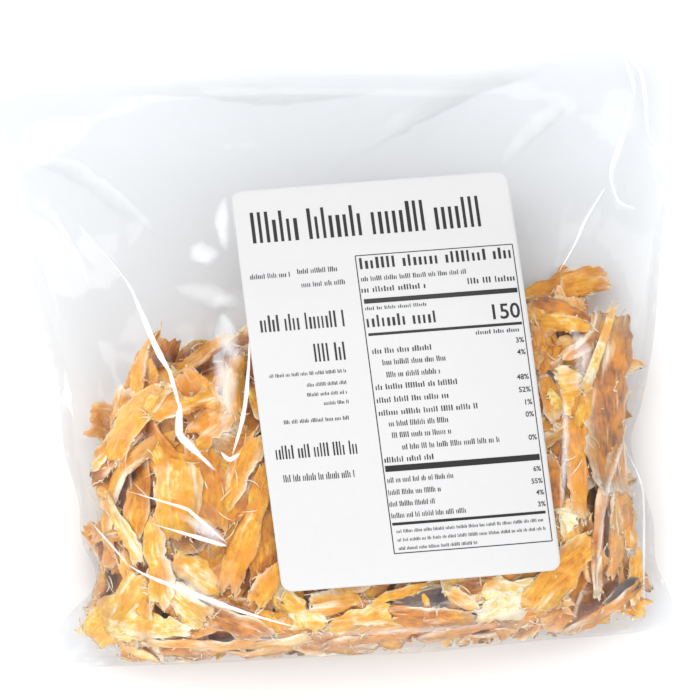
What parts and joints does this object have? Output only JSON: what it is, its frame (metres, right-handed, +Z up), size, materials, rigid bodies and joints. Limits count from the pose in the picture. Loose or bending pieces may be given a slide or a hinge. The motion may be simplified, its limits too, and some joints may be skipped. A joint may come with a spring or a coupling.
{
  "type": "bag of dried cod pieces",
  "caption": "Heat-sealed clear film bag, part full of dried cod pieces, with a paper label, lying on its back.",
  "frame": {"origin": "middle of the bag's footprint, on the surface that it lies on", "axes": "+X across the bag's width, +Y from its full bottom end to its sealed top edge, +Z up through the label"},
  "size_m": [0.2542, 0.218, 0.0597],
  "materials": {
    "film": "clear glossy packaging film",
    "fish_flesh": "dried cod flesh, golden, semi-translucent, stringy",
    "fish_skin": "dried cod skin, dark grey-blue to brown",
    "label_paper": "smooth white label paper",
    "label_print": "black print"
  },
  "bodies": {
    "root": {"bag": "film", "label": "label_paper"}
  },
  "joints": []
}
